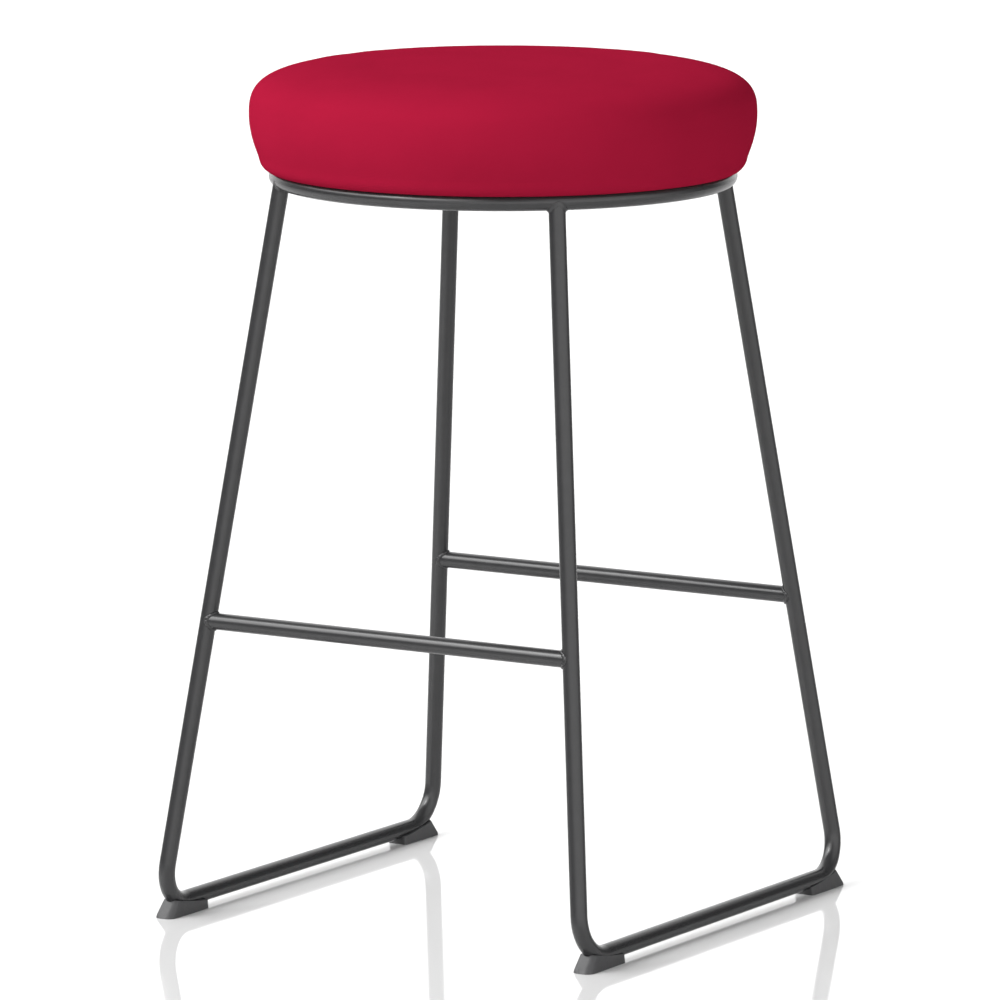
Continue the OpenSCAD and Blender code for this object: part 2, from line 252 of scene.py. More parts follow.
class Nodes:
    """Short names for adding nodes to a tree. place is the tree's own coordinate."""

    def __init__(self, tree, coordinate):
        self.tree = tree
        self.place = tree.nodes.new("ShaderNodeTexCoord").outputs[coordinate]

    def put(self, socket, value):
        """Links the value to the socket if it comes from a node, or sets it there."""
        if isinstance(value, bpy.types.NodeSocket):
            self.tree.links.new(value, socket)
        else:
            socket.default_value = value

    def add(self, kind, **inputs):
        node = self.tree.nodes.new(kind)
        for name, value in inputs.items():
            self.put(node.inputs[name], value)
        return node

    def math(self, operation, a, b=0.0):
        node = self.tree.nodes.new("ShaderNodeMath")
        node.operation = operation
        self.put(node.inputs[0], a)
        self.put(node.inputs[1], b)
        return node.outputs[0]

    def parts(self, vector):
        """The vector's X, Y and Z."""
        return self.add("ShaderNodeSeparateXYZ", Vector=vector).outputs

    def noise(self, scale, detail, place=None):
        """Noise of this many waves a metre."""
        place = place or self.place
        node = self.add("ShaderNodeTexNoise", Vector=place, Scale=scale, Detail=detail)
        return node.outputs["Fac"]

    def streaks(self, x, y, z, detail):
        """Noise with its own number of waves a metre along each axis."""
        stretched = self.add("ShaderNodeMapping", Vector=self.place)
        stretched.inputs["Scale"].default_value = (x, y, z)
        return self.noise(1.0, detail, stretched.outputs["Vector"])

    def spread(self, value, low, high, out_low=0.0, out_high=1.0, easing="LINEAR"):
        """The value's range from low to high spread over another range, and held to it."""
        node = self.add("ShaderNodeMapRange", Value=value)
        node.interpolation_type = easing
        node.inputs["From Min"].default_value = low
        node.inputs["From Max"].default_value = high
        node.inputs["To Min"].default_value = out_low
        node.inputs["To Max"].default_value = out_high
        return node.outputs["Result"]

    def vary(self, noise_value, out_low=0.0, out_high=1.0):
        """The usual range of a noise spread over another range."""
        return self.spread(noise_value, 0.3, 0.7, out_low, out_high)

    def rise(self, value, low, high):
        """From 0 at low to 1 at high, eased at both ends."""
        return self.spread(value, low, high, easing="SMOOTHSTEP")

    def mix(self, factor, first, second):
        """A blend of two colours."""
        node = self.tree.nodes.new("ShaderNodeMix")
        node.data_type = "RGBA"
        self.put(node.inputs["Factor"], factor)
        self.put(node.inputs["A"], first)
        self.put(node.inputs["B"], second)
        return node.outputs["Result"]

    def bump(self, height, strength, distance):
        node = self.add("ShaderNodeBump", Height=height, Strength=strength, Distance=distance)
        return node.outputs["Normal"]


class MaterialNodes(Nodes):
    """The same for a new material, with its shader."""

    def __init__(self, name):
        self.material = bpy.data.materials.new(name)
        self.material.use_nodes = True
        super().__init__(self.material.node_tree, "Object")
        self.shader = self.tree.nodes["Principled BSDF"]

    def set(self, **values):
        """Sets the shader's sockets; an underscore stands for a space."""
        for name, value in values.items():
            self.put(self.shader.inputs[name.replace("_", " ")], value)


def shade(colour, factor):
    """The colour made lighter or darker."""
    return (colour[0] * factor, colour[1] * factor, colour[2] * factor, 1.0)


def powder_coat():
    """Satin charcoal powder coat, with a fine orange peel."""
    base = (0.0255, 0.0255, 0.0265)
    n = MaterialNodes("powder_coat")
    mottle = n.vary(n.noise(90, 2))
    colour = n.mix(mottle, shade(base, 0.94), shade(base, 1.06))
    n.set(Base_Color=colour, IOR=1.5, Specular_IOR_Level=0.46)
    n.set(Roughness=n.vary(n.noise(240, 3), 0.235, 0.262))
    n.set(Normal=n.bump(n.noise(700, 1), strength=0.1, distance=0.1 * MM))
    return n.material


def zinc():
    """Bright zinc plate, faintly clouded, with fine turning marks."""
    n = MaterialNodes("zinc_plate")
    cloud = n.vary(n.noise(220, 4))
    n.set(Base_Color=n.mix(cloud, (0.50, 0.51, 0.52, 1), (0.64, 0.65, 0.67, 1)))
    n.set(Metallic=1.0)
    n.set(Roughness=n.vary(n.noise(900, 3), 0.26, 0.44))
    turning = n.streaks(300, 300, 5200, detail=2)
    n.set(Normal=n.bump(turning, strength=0.10, distance=0.03 * MM))
    return n.material


def plywood():
    """Birch plywood: crossed plies at the edge, and long grain on the two faces."""
    plies = 9
    ply = (board_high.z - board_low.z) / plies
    n = MaterialNodes("birch_plywood")
    height = n.parts(n.place)["Z"]
    layer = n.math("FLOOR", n.math("DIVIDE", n.math("SUBTRACT", height, board_low.z), ply))
    crossed = n.math("FLOORED_MODULO", layer, 2.0)
    long_grain = n.streaks(30, 620, 620, detail=5)
    cross_grain = n.streaks(620, 30, 620, detail=5)
    light = n.mix(long_grain, (0.52, 0.36, 0.20, 1), (0.70, 0.54, 0.34, 1))
    dark = n.mix(cross_grain, (0.30, 0.19, 0.10, 1), (0.46, 0.31, 0.17, 1))
    n.set(Base_Color=n.mix(crossed, light, dark))
    n.set(Roughness=n.vary(long_grain, 0.52, 0.68))
    n.set(Normal=n.bump(long_grain, strength=0.2, distance=0.2 * MM))
    return n.material


def moulded_plastic():
    """Dark grey nylon with the fine matt grain of a spark-eroded mould."""
    base = (0.055, 0.055, 0.057)
    n = MaterialNodes("moulded_nylon")
    tone = n.vary(n.noise(160, 3))
    n.set(Base_Color=n.mix(tone, shade(base, 0.94), shade(base, 1.07)), IOR=1.5)
    n.set(Roughness=n.vary(n.noise(500, 2), 0.46, 0.56))
    n.set(Normal=n.bump(n.noise(3200, 2), strength=0.16, distance=0.05 * MM))
    return n.material


def foam():
    """Open-cell cushion foam."""
    n = MaterialNodes("cushion_foam")
    cells = n.add("ShaderNodeTexVoronoi", Vector=n.place, Scale=900.0).outputs["Distance"]
    # Darker in the middle of each cell, where the bump sinks a pore: painted shade in the pores,
    # lighter on the struts between them.
    n.set(Base_Color=n.mix(cells, (0.50, 0.42, 0.24, 1), (0.78, 0.71, 0.52, 1)))
    n.set(Roughness=0.95)
    n.set(Normal=n.bump(cells, strength=0.6, distance=0.5 * MM))
    return n.material


def lining():
    """Black non-woven cloth with its grid of small bonded points."""
    bond_pitch = 1.8 * MM
    n = MaterialNodes("nonwoven_lining")
    fibre = n.streaks(700, 2600, 900, detail=4)
    xyz = n.parts(n.place)
    bond_x = n.math("SINE", n.math("MULTIPLY", xyz["X"], 2 * math.pi / bond_pitch))
    bond_y = n.math("SINE", n.math("MULTIPLY", xyz["Y"], 2 * math.pi / bond_pitch))
    bond = n.spread(n.math("MULTIPLY", bond_x, bond_y), 0.2, 0.6)
    cloth = n.mix(fibre, (0.010, 0.010, 0.011, 1), (0.030, 0.030, 0.032, 1))
    n.set(Base_Color=n.mix(bond, cloth, (0.045, 0.045, 0.047, 1)))
    n.set(Roughness=n.spread(bond, 0, 1, 0.92, 0.6))
    height = n.math("SUBTRACT", n.math("MULTIPLY", fibre, 0.4), bond)
    n.set(Normal=n.bump(height, strength=0.5, distance=0.12 * MM))
    return n.material


def seat_fabric():
    """Red wool-like upholstery cloth in a fine plain weave.

    The weave runs out from the middle of the seat, over the shoulder and down the wall, so it
    is laid by the distance from the crown: the radius plus the drop.
    """
    pitch = 0.75 * MM
    base = (0.283, 0.0076, 0.0290)
    n = MaterialNodes("seat_cloth")
    xyz = n.parts(n.place)
    square = n.math("ADD", n.math("POWER", xyz["X"], 2.0), n.math("POWER", xyz["Y"], 2.0))
    radius = n.math("MAXIMUM", n.math("SQRT", square), 0.1 * MM)
    along = n.math("ADD", radius, n.math("SUBTRACT", cover_high.z, xyz["Z"]))
    scale = n.math("DIVIDE", along, n.math("MULTIPLY", radius, pitch))
    waver = n.math("MULTIPLY", n.math("SUBTRACT", n.noise(55, 2), 0.5), 0.9)
    warp = n.math("ADD", n.math("MULTIPLY", xyz["X"], scale), waver)
    weft = n.math("ADD", n.math("MULTIPLY", xyz["Y"], scale), waver)

    def hump(value):
        return n.math("SINE", n.math("MULTIPLY", n.math("FRACT", value), math.pi))

    cell = n.math("ADD", n.math("FLOOR", warp), n.math("FLOOR", weft))
    over = n.math("FLOORED_MODULO", cell, 2.0)
    warp_up = n.math("MULTIPLY", hump(warp), n.spread(hump(weft), 0, 1, 0.5, 1.0))
    weft_up = n.math("MULTIPLY", hump(weft), n.spread(hump(warp), 0, 1, 0.5, 1.0))
    weave = n.add("ShaderNodeMix", Factor=over, A=warp_up, B=weft_up).outputs["Result"]
    fuzz = n.noise(5200, 3)
    melange = n.spread(n.noise(1500, 2), 0.35, 0.65)
    broad = n.spread(n.noise(14, 2), 0.35, 0.65)
    # The colour follows the weave's height: darker where the threads dip and lighter on their
    # crowns. This is painted shade between the threads and a painted highlight on them.
    colour = n.mix(weave, shade(base, 0.80), shade(base, 1.12))
    colour = n.mix(n.math("MULTIPLY", melange, 0.5), colour, shade(base, 0.9))
    colour = n.mix(n.math("MULTIPLY", broad, 0.5), colour, shade(base, 1.05))
    height = n.math("ADD", weave, n.math("MULTIPLY", fuzz, 0.5))
    n.set(Base_Color=colour, IOR=1.4, Specular_IOR_Level=0.0)
    n.set(Roughness=n.vary(fuzz, 0.80, 0.95))
    n.set(Sheen_Weight=0.004, Sheen_Roughness=0.5, Sheen_Tint=(0.9, 0.15, 0.25, 1))
    n.set(Normal=n.bump(height, strength=0.35, distance=0.12 * MM))
    return n.material


# ---- The seat -----------------------------------------------------------------------------------

# How many straight steps each stretch of the seat's outline has.
RIM_STEPS = 12
WALL_STEPS = 16
SHOULDER_STEPS = 60
CROWN_STEPS = 24


def seat_outline(inset):
    """The seat's outline from the rim up to the crown as [(radius, height)], moved in by inset."""
    points = []
    reach = RIM_R - inset
    for i in range(RIM_STEPS + 1):
        turn = RIM_START * (1 - i / RIM_STEPS)
        points.append((FOOT_R - RIM_R + reach * math.cos(turn), RIM_R + reach * math.sin(turn)))
    wide_h = SEAT_H - SHOULDER_RISE - CROWN_RISE
    for i in range(1, WALL_STEPS + 1):
        s = i / WALL_STEPS
        out = FOOT_R + (WIDE_R - FOOT_R) * (1 - (1 - s) ** WALL_POWER)
        points.append((out - inset, RIM_R + (wide_h - RIM_R) * s))
    crown_r = WIDE_R - SHOULDER_REACH
    for i in range(1, SHOULDER_STEPS + 1):
        turn = math.pi / 2 * i / SHOULDER_STEPS
        across = max(math.cos(turn), 0) ** (2 / SHOULDER_POWER)
        up = math.sin(turn) ** (2 / SHOULDER_POWER)
        out = crown_r + (SHOULDER_REACH - inset) * across
        points.append((out, wide_h + (SHOULDER_RISE - inset) * up))
    for i in range(1, CROWN_STEPS + 1):
        s = i / CROWN_STEPS
        lift = CROWN_RISE * (1 - (1 - s) ** 2)
        points.append((crown_r * (1 - s), wide_h + SHOULDER_RISE - inset + lift))
    return [(r, z + SEAT_Z) for r, z in points]


def evenly(points, count):
    """This many points at an even spacing along a line of points."""
    line = np.array(points)
    length = np.concatenate([[0], np.cumsum(np.linalg.norm(np.diff(line, axis=0), axis=1))])
    at = np.linspace(0, length[-1], count)
    return np.stack([np.interp(at, length, line[:, k]) for k in range(2)], axis=1)


def height_at(points, radius):
    """The height of the outline's top at a radius."""
    line = np.array(points)[::-1]
    return float(np.interp(radius, line[:, 0], line[:, 1]))


# The cover's mesh: a disc grid of this many cells across, out to a radius, then rings of points.
COVER_CELLS = 48
GRID_R = 118 * MM
SIDE_RINGS = 38
HEM_RINGS = 5
# The cloth starts slack inside its place, is pinned within PIN_R below PIN_Z, is wholly free
# above FREE_Z, and ends up uneven by at most SWELL.
SLACK = 1.5 * MM
PIN_R = 179 * MM
PIN_Z = SEAT_Z + 4 * MM
FREE_Z = SEAT_Z + 14 * MM
SWELL = 0.25 * MM
CLOTH_FRAMES = 20
CLOTH_PRESSURE = 4
CLOTH_THICK = 0.8 * MM
PLEATS = 44
PLEAT_DEPTH = 0.7 * MM


def cover_mesh(inset):
    """The cloth's outside surface: a disc grid for the crown, then rings down to the hem."""
    outline = seat_outline(inset)
    top = [p for p in outline if p[1] > SEAT_Z + SEAT_H / 2]
    plan, faces = disc_points(COVER_CELLS, GRID_R)
    verts = [(x, y, height_at(top, math.hypot(x, y))) for x, y in plan]
    edge = disc_outline(COVER_CELLS)
    around = len(edge)
    side = [p for p in outline if p[0] > GRID_R][::-1]
    side = [(GRID_R, height_at(top, GRID_R))] + side
    side = list(evenly(side, SIDE_RINGS))[1:]
    side += list(evenly([(HEM_EDGE_R, COVER_Z), (HEM_R, COVER_Z)], HEM_RINGS))
    start = len(verts)
    for r, z in side:
        for j in range(around):
            turn = -math.pi / 4 + 2 * math.pi * j / around
            verts.append((r * math.cos(turn), r * math.sin(turn), z))
    for j in range(around):
        k = (j + 1) % around
        faces.append((edge[j], start + j, start + k, edge[k]))
    for a, b, c, d in loop_faces(len(side), around, start):
        faces.append((a, d, c, b))
    return verts, faces


def inflate(piece, pinned):
    """Blows the cloth up against its own tension, and returns where its points come to."""
    group = piece.vertex_groups.new(name="pinned")
    for i in np.flatnonzero(pinned):
        group.add([int(i)], 1.0, "REPLACE")
    cloth = piece.modifiers.new("Cloth", "CLOTH")
    settings = cloth.settings
    settings.quality = 6
    settings.mass = 0.3
    settings.tension_stiffness = 20
    settings.compression_stiffness = 20
    settings.shear_stiffness = 8
    settings.bending_stiffness = 2
    settings.vertex_group_mass = "pinned"
    settings.use_pressure = True
    settings.uniform_pressure_force = CLOTH_PRESSURE
    settings.effector_weights.gravity = 0
    cloth.point_cache.frame_start = 1
    cloth.point_cache.frame_end = CLOTH_FRAMES
    scene = bpy.context.scene
    for step in range(1, CLOTH_FRAMES + 1):
        scene.frame_set(step)
    apply_modifiers(piece)
    scene.frame_set(1)
    piece.vertex_groups.clear()
    return vertex_array(piece.data, "co")


def pleat(piece):
    """Lays the small gathers of the turned-in cloth, from the rim to the hem under the board."""
    points = vertex_array(piece.data, "co")
    radius = np.hypot(points[:, 0], points[:, 1])
    turn = np.arctan2(points[:, 1], points[:, 0])
    under = (points[:, 2] < COVER_Z + 2 * MM) * (1 - smoothstep(HEM_R, BOARD_R, radius))
    wander = np.array([noise.noise(Vector((math.cos(t) * 3, math.sin(t) * 3, 7))) for t in turn])
    fold = np.abs(np.sin(PLEATS / 2 * turn + 3 * wander)) ** 0.5
    points[:, 2] += PLEAT_DEPTH * under * (1 - fold)
    set_coords(piece.data, points)


def seat_cover(material):
    """The upholstery: cloth blown up over the foam, pinned under the board, turned in to a hem."""
    outer, faces = cover_mesh(0)
    inner, _ = cover_mesh(SLACK)
    outer, inner = np.array(outer), np.array(inner)
    pinned = (outer[:, 2] < PIN_Z) & (np.hypot(outer[:, 0], outer[:, 1]) < PIN_R)
    free = smoothstep(PIN_Z, FREE_Z, outer[:, 2])[:, None]
    start = np.where(pinned[:, None], outer, outer + (inner - outer) * free)
    piece = new_piece("seat_cover_cloth", start, faces, material, ["seat_cover"])
    face_outwards(piece)
    blown = inflate(piece, pinned)
    set_coords(piece.data, outer)
    normals = vertex_array(piece.data, "normal")
    # The foam inside holds the cloth, so it only follows the simulation by a hair.
    proud = ((blown - outer) * normals).sum(axis=1)
    swell = SWELL * np.tanh((proud + SLACK / 2) / SLACK) * free[:, 0]
    outer = outer + normals * swell[:, None]
    set_coords(piece.data, outer)
    pleat(piece)
    thicken(piece, CLOTH_THICK, -1)
    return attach(piece, "root")


def revolve(profile, around):
    """A closed solid of revolution; the profile runs from the axis above to the axis below."""
    verts = [(0, 0, profile[0][1])]
    for r, z in profile[1:-1]:
        for j in range(around):
            turn = 2 * math.pi * j / around
            verts.append((r * math.cos(turn), r * math.sin(turn), z))
    verts.append((0, 0, profile[-1][1]))
    rings, last = len(profile) - 2, len(verts) - 1
    faces = loop_faces(rings, around, 1)
    for j in range(around):
        k = (j + 1) % around
        faces.append((0, 1 + k, 1 + j))
        below = 1 + (rings - 1) * around
        faces.append((last, below + j, below + k))
    return verts, faces


def seat_foam(material):
    """The foam pad inside the cover, pressed in round the flanges of the T-nuts."""
    inside_cover = 1.6 * MM
    board_gap, floor_gap = 0.3 * MM, 0.2 * MM
    flange_room, flange_r = 2.0 * MM, 10 * MM
    outline = seat_outline(inside_cover)[::-1]
    floor_z = board_high.z + floor_gap
    profile = list(evenly(outline, 60))
    profile.append((BOARD_R + board_gap, board_low.z + 1 * MM))
    profile.append((BOARD_R + board_gap, board_high.z))
    profile += list(evenly([(BOARD_R, floor_z), (0, floor_z)], 44))
    verts, faces = revolve(profile, 180)
    points = np.array(verts)
    low = points[:, 2] < board_high.z + 1 * MM
    for off in fixing_distances(points):
        points[:, 2] += low * flange_room * (1 - smoothstep(flange_r, 2 * flange_r, off))
    piece = new_piece("seat_foam_pad", points, faces, material, ["seat_foam"])
    face_outwards(piece)
    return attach(piece, "root")


# ---- Under the seat -----------------------------------------------------------------------------

# The dust cover turns from free to held over EDGE_HELD, out from the middle, and from held to
# free over SCREW_HELD, out from a screw. The staples pull it in scallops between SCALLOP_START
# and SCALLOP_END.
DUST_CELLS = 72
DUST_HOLE_R = 3.5 * MM
DUST_SAG = 2.6 * MM
DUST_PULL = 0.25 * MM
EDGE_HELD = (128 * MM, 152 * MM)
SCREW_HELD = (14 * MM, 40 * MM)
SCALLOP_START = (110 * MM, 150 * MM)
SCALLOP_END = (150 * MM, 158 * MM)
STAPLES = 16
STAPLE_R = 156 * MM


def dust_cover(material):
    """Thin cloth stretched under the seat: stapled round its edge, sagging a little between."""
    plan, faces = disc_points(DUST_CELLS, dust_high.x)
    thick = dust_high.z - dust_low.z
    verts = [(x, y, dust_high.z - 0.05 * MM) for x, y in plan]
    piece = new_piece("dust_cover_cloth", verts, faces, material, ["dust_cover"])
    bm = bmesh.new()
    bm.from_mesh(piece.data)
    for turn in FIXING_TURNS:
        open_hole(bm, (FIXING_R * math.cos(turn), FIXING_R * math.sin(turn)), DUST_HOLE_R)
    loose = [v for v in bm.verts if not v.link_faces]
    bmesh.ops.delete(bm, geom=loose, context="VERTS")
    bm.to_mesh(piece.data)
    bm.free()
    points = vertex_array(piece.data, "co")
    radius = np.hypot(points[:, 0], points[:, 1])
    turn = np.arctan2(points[:, 1], points[:, 0])
    free = 1 - smoothstep(*EDGE_HELD, radius)
    for off in fixing_distances(points):
        free *= smoothstep(*SCREW_HELD, off)
    uneven = np.array([noise.noise(Vector((p[0] * 14, p[1] * 14, 3))) for p in points])
    sag = DUST_SAG * (1 - (radius / dust_high.x) ** 2) * (1 + 0.35 * uneven)
    pull = np.cos(STAPLES * turn + math.pi) * smoothstep(*SCALLOP_START, radius)
    pull *= 1 - smoothstep(*SCALLOP_END, radius)
    points[:, 2] -= free * sag + DUST_PULL * (1 + pull) * free
    set_coords(piece.data, points)
    thicken(piece, thick * 0.6, 0)
    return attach(piece, "root")


def staples(material):
    """Wire staples through the edge of the dust cover, their legs turned up into the board."""
    half_long, leg = 5.0 * MM, 1.6 * MM
    half_wide, half_deep = 0.62 * MM, 0.28 * MM
    z = dust_low.z - half_deep + 0.05 * MM
    # The wire's line: up one leg, round the corner, and along the crown to its middle.
    path = [
        (-half_long, z + leg),
        (-half_long, z + 0.7 * MM),
        (-half_long + 0.3 * MM, z + 0.2 * MM),
        (-half_long + 0.8 * MM, z),
        (0, z - 0.03 * MM),
    ]
    path += [(-x, h) for x, h in path[3::-1]]
    sides = 8
    turns = [2 * math.pi * k / sides for k in range(sides)]
    section = [(half_wide * math.cos(t), half_deep * math.sin(t)) for t in turns]
    verts, faces = [], []
    for i in range(STAPLES):
        turn = 2 * math.pi * (i + 0.5) / STAPLES
        out = Vector((math.cos(turn), math.sin(turn), 0))
        side = Vector((-math.sin(turn), math.cos(turn), 0))
        first = len(verts)
        for k, (s, h) in enumerate(path):
            before, after = path[max(k - 1, 0)], path[min(k + 1, len(path) - 1)]
            ahead = Vector((after[0] - before[0], after[1] - before[1])).normalized()
            up = side * -ahead.y + Vector((0, 0, ahead.x))
            middle = side * s + Vector((0, 0, h))
            verts += [middle + out * (STAPLE_R + c) + up * d for c, d in section]
        faces += loop_faces(len(path), sides, first)
        faces += end_faces(len(path), sides, first)
    piece = new_piece(
        "dust_cover_staples_wire", verts, faces, material, ["dust_cover_staples"]
    )
    face_outwards(piece)
    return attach(piece, "root")


# ---- Welds --------------------------------------------------------------------------------------

# A bead's section has this many steps from toe to toe. Its ripples trail back by RIPPLE_TRAIL of
# a ripple in the middle, and add RIPPLE_LIFT to its bulge. SADDLE_SOFT rounds the line where two
# bars meet, and TOE_LIFT keeps the toes just clear of the bars.
BEAD_SIDES = 8
RIPPLE_TRAIL = 0.45
RIPPLE_LIFT = 0.45
RIPPLES_ROUND_BAR = 26
RIPPLES_ON_TAB = 15
SADDLE_SOFT = 1.6 * MM
TOE_LIFT = 0.03 * MM


def bead_loop(toe_a, toe_b, root, bulge, phase):
    """One section of a weld bead: an arc from toe to toe, rippled in crescents, and its root."""
    middle = (toe_a + toe_b) / 2
    out = (middle - root).normalized()
    points = []
    for k in range(BEAD_SIDES + 1):
        t = k / BEAD_SIDES
        arch = math.sin(math.pi * t)
        wave = (phase - RIPPLE_TRAIL * arch) % 1.0
        lift = bulge * arch * (1 + RIPPLE_LIFT * (1 - wave) ** 1.5)
        points.append(toe_a.lerp(toe_b, t) + out * lift)
    points.append(root)
    return points


def onto_axis(point, through_point, direction):
    """The nearest point on a straight line."""
    return through_point + direction * (point - through_point).dot(direction)


def meeting_line(crossing, away, through, stations):
    """Where two bars' surfaces meet, as [(point, the ending bar's normal there)]."""
    side = away.cross(through).normalized()
    ahead = side.cross(away).normalized()
    slope = away.dot(through)
    line = []
    for i in range(stations):
        turn = 2 * math.pi * i / stations
        normal = ahead * math.cos(turn) + side * math.sin(turn)
        reach = BAR_R * normal.dot(through)
        down = max(reach / (1 - slope), -reach / (1 + slope))
        down = math.sqrt(down * down + SADDLE_SOFT * SADDLE_SOFT)
        line.append((crossing + normal * BAR_R + away * down, normal))
    return line


def joint_bead(crossing, away, through, onto, legs, bulge, stations=240):
    """The bead round a bar's end where it meets another bar of the same size.

    crossing is where the centrelines meet, away points along the bar that ends there, through
    along the bar that runs on, and onto(point) puts a point on that bar's surface. legs are the
    bead's widths along each bar: where the bars run side by side, and in the corners. bulge is
    its height over the straight line from toe to toe, as a share of its width.
    """
    line = meeting_line(crossing, away, through, stations)
    loops = []
    for i in range(stations):
        point, normal = line[i]
        tangent = (line[(i + 1) % stations][0] - line[i - 1][0]).normalized()
        surface = onto(point)
        outward = (surface - onto_axis(surface, crossing, through)).normalized()
        run = tangent.cross(outward).normalized()
        if run.dot(normal - away) < 0:
            run = -run
        width = legs[0] + (legs[1] - legs[0]) * abs(normal.dot(through))
        width *= 1 + 0.07 * noise.noise(point * 420)
        toe_a = point + away * width + normal * TOE_LIFT
        toe_b = onto(surface + run * width)
        root = point - normal * 0.9 * MM - outward * 0.5 * MM
        phase = RIPPLES_ROUND_BAR * i / stations
        loops.append(bead_loop(toe_a, toe_b, root, bulge * width, phase))
    verts = [p for section in loops for p in section]
    return verts, loop_faces(stations, len(loops[0]), closed=True)


def onto_ring(point):
    """The nearest point on the surface of the seat ring."""
    flat = Vector((point.x, point.y, 0)).normalized() * RING_R
    centre = Vector((flat.x, flat.y, RING_Z))
    return centre + (point - centre).normalized() * (BAR_R + TOE_LIFT)


def mirrored(vector, corner):
    """The vector with the signs of a corner."""
    return Vector((vector.x * corner[0], vector.y * corner[1], vector.z))


def weld_piece(name, beads, material, replaced):
    """Joins beads, each (verts, faces), in one piece."""
    verts, faces = [], []
    for bead_verts, bead_faces in beads:
        start = len(verts)
        verts += bead_verts
        faces += [tuple(start + i for i in f) for f in bead_faces]
    piece = new_piece(name, verts, faces, material, [replaced])
    face_outwards(piece)
    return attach(piece, "root")


def leg_welds(material):
    """The beads between the tops of the four legs and the seat ring."""
    legs, bulge = (1.8 * MM, 1.7 * MM), -0.1
    beads = []
    for corner in CORNERS:
        top = mirrored(LEG_TOP, corner)
        tangent = Vector((-top.y, top.x, 0)).normalized()
        down = mirrored(LEG_DOWN, corner)
        beads.append(joint_bead(top, down, tangent, onto_ring, legs, bulge))
    return weld_piece("leg_weld_beads", beads, material, "leg_welds")


def footrest_welds(material):
    """The beads between the ends of the footrest bars and the legs."""
    legs, bulge = (2.1 * MM, 1.2 * MM), 0.28
    part = (FOOTREST_Z - RAIL_Z) / (RING_Z - RAIL_Z)
    beads = []
    for corner in CORNERS:
        crossing = mirrored(LEG_FOOT.lerp(LEG_TOP, part), corner)
        leg_line = mirrored(LEG_DOWN, corner)

        def onto_leg(point, crossing=crossing, leg_line=leg_line):
            centre = onto_axis(point, crossing, leg_line)
            return centre + (point - centre).normalized() * (BAR_R + TOE_LIFT)

        inwards = Vector((-corner[0], 0, 0))
        beads.append(joint_bead(crossing, inwards, leg_line, onto_leg, legs, bulge))
    return weld_piece("footrest_weld_beads", beads, material, "footrest_welds")


def tab_welds(material):
    """The straight beads in the corner between each mounting tab and the ring."""
    half_long, widest, bulge = 10.5 * MM, 2.4 * MM, 0.34
    stations = 100
    under = tab_low.z
    inside = RING_R - math.sqrt(BAR_R**2 - (under - RING_Z) ** 2)
    beads = []
    for tab_turn in FIXING_TURNS:
        verts = []
        for k in range(stations):
            s = -half_long + 2 * half_long * k / (stations - 1)
            turn = tab_turn + s / RING_R
            out = Vector((math.cos(turn), math.sin(turn), 0))
            taper = min(1, math.sqrt(max(0.02, 1 - (s / half_long) ** 2)) * 1.6)
            width = widest * taper
            corner = out * inside + Vector((0, 0, under))
            toe_a = corner - out * width
            toe_b = onto_ring(corner - out * 0.2 * MM - Vector((0, 0, width)))
            root = corner + out * 0.6 * MM + Vector((0, 0, 0.4 * MM))
            phase = RIPPLES_ON_TAB * k / stations
            verts += bead_loop(toe_a, toe_b, root, bulge * width, phase)
        count = BEAD_SIDES + 2
        faces = loop_faces(stations, count) + end_faces(stations, count)
        beads.append((verts, faces))
    return weld_piece("tab_weld_beads", beads, material, "tab_welds")


# ---- Glides -------------------------------------------------------------------------------------

# The rear right glide, from its box and the CAD source: along the rail from GLIDE_START to
# GLIDE_END at the floor and GLIDE_END_TOP at the top, narrower at the top, set in from the rail
# by the shifts, and rounded at its corners. Its walls grip the bar up to GLIDE_GRIP_Z, and climb
# from there as the bar bends up.
GLIDE_START = glide_low.y
GLIDE_END = glide_high.y
GLIDE_END_TOP = 181.5 * MM
GLIDE_HIGH = glide_high.z
GLIDE_LIP = 1.2 * MM
GLIDE_W = 16.8 * MM
GLIDE_TOP_W = 13.8 * MM
GLIDE_SHIFT = 0.7 * MM
GLIDE_TOP_SHIFT = 1.0 * MM
GLIDE_START_CORNER = 1.8 * MM
GLIDE_END_CORNER = 6.6 * MM
GLIDE_END_TOP_CORNER = 4.0 * MM
GLIDE_GRIP_Z = RAIL_Z - BAR_R + 3.1 * MM
GLIDE_CLIMB = 1.4
GLIDE_FIT = 0.1 * MM
GLIDE_SCREW_Y = 151 * MM
# How many steps its sections have across the floor, up a wall and across the saddle, and how
# many sections there are round the inner end, along the middle and round the outer end.
FLOOR_STEPS = 6
SIDE_STEPS = 6
SADDLE_STEPS = 12
START_SECTIONS = 6
MIDDLE_SECTIONS = 22
END_SECTIONS = 8


def bisect(near, far, is_near, rounds):
    """The place between near and far up to which is_near holds."""
    for _ in range(rounds):
        middle = (near + far) / 2
        if is_near(middle):
            near = middle
        else:
            far = middle
    return near


def under_bar(x, y):
    """How high the rear right glide may reach at a point: to its own top, or close to the bar."""

    def off(z):
        # The point in the loop's own plane: along the rail, up the loop, and out of the plane.
        up = (z - RAIL_Z) * math.cos(LOOP_LEAN) - (x - RAIL_X) * math.sin(LOOP_LEAN)
        out = (x - RAIL_X) * math.cos(LOOP_LEAN) + (z - RAIL_Z) * math.sin(LOOP_LEAN)
        if y < RAIL_STRAIGHT:
            return math.hypot(up, out) - BAR_R
        reach = math.hypot(y - RAIL_STRAIGHT, up - BEND_R)
        return math.hypot(reach - BEND_R, out) - BAR_R

    low, step, too_high = 0.0, 0.25 * MM, 30 * MM
    while off(low + step) > 0:
        low += step
        if low > too_high:
            return GLIDE_HIGH
    return bisect(low, low + step, lambda z: off(z) > 0, 24) - GLIDE_FIT


